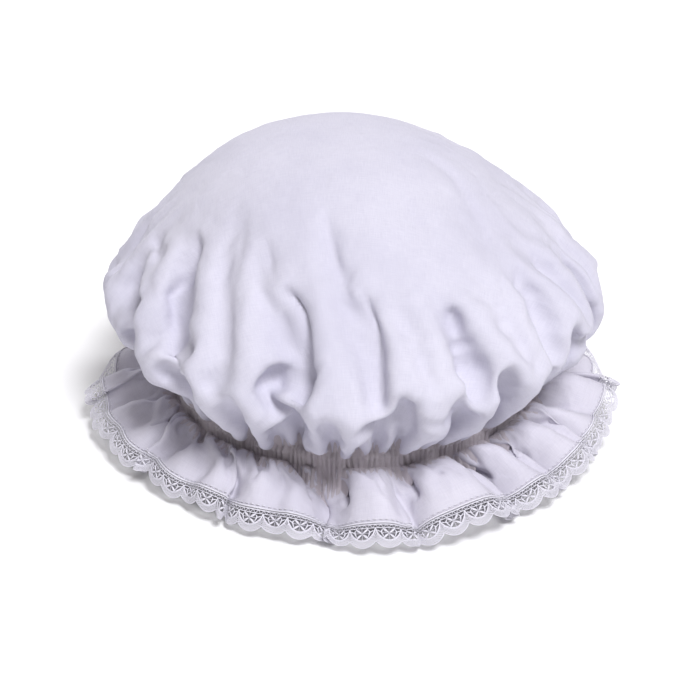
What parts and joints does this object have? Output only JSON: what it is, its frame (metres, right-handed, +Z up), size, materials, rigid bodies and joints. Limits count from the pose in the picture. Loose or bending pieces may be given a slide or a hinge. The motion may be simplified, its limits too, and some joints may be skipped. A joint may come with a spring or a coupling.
{
  "type": "lace-edged mob cap",
  "caption": "Puffed white cotton cap gathered on a narrow band, with a flared ruffle edged in scalloped lace; stands on its lace.",
  "frame": {"origin": "on the surface that the cap stands on, below the middle of the cap's bounding box", "axes": "+Z up through the crown, -Y towards the front seen in the picture, +X to the right in that view"},
  "size_m": [0.271, 0.274, 0.1556],
  "materials": {
    "crown_cotton": "plain white woven cotton, matte, softly creased",
    "band_cotton": "white cotton in small tight pleats over a hidden elastic",
    "ruffle_cotton": "plain white woven cotton, matte",
    "lace": "white cotton bobbin-style lace, open net with a scalloped edge"
  },
  "bodies": {
    "root": {"crown": "crown_cotton", "gathered_band": "band_cotton", "ruffle": "ruffle_cotton", "lace_edging": "lace"}
  },
  "joints": []
}
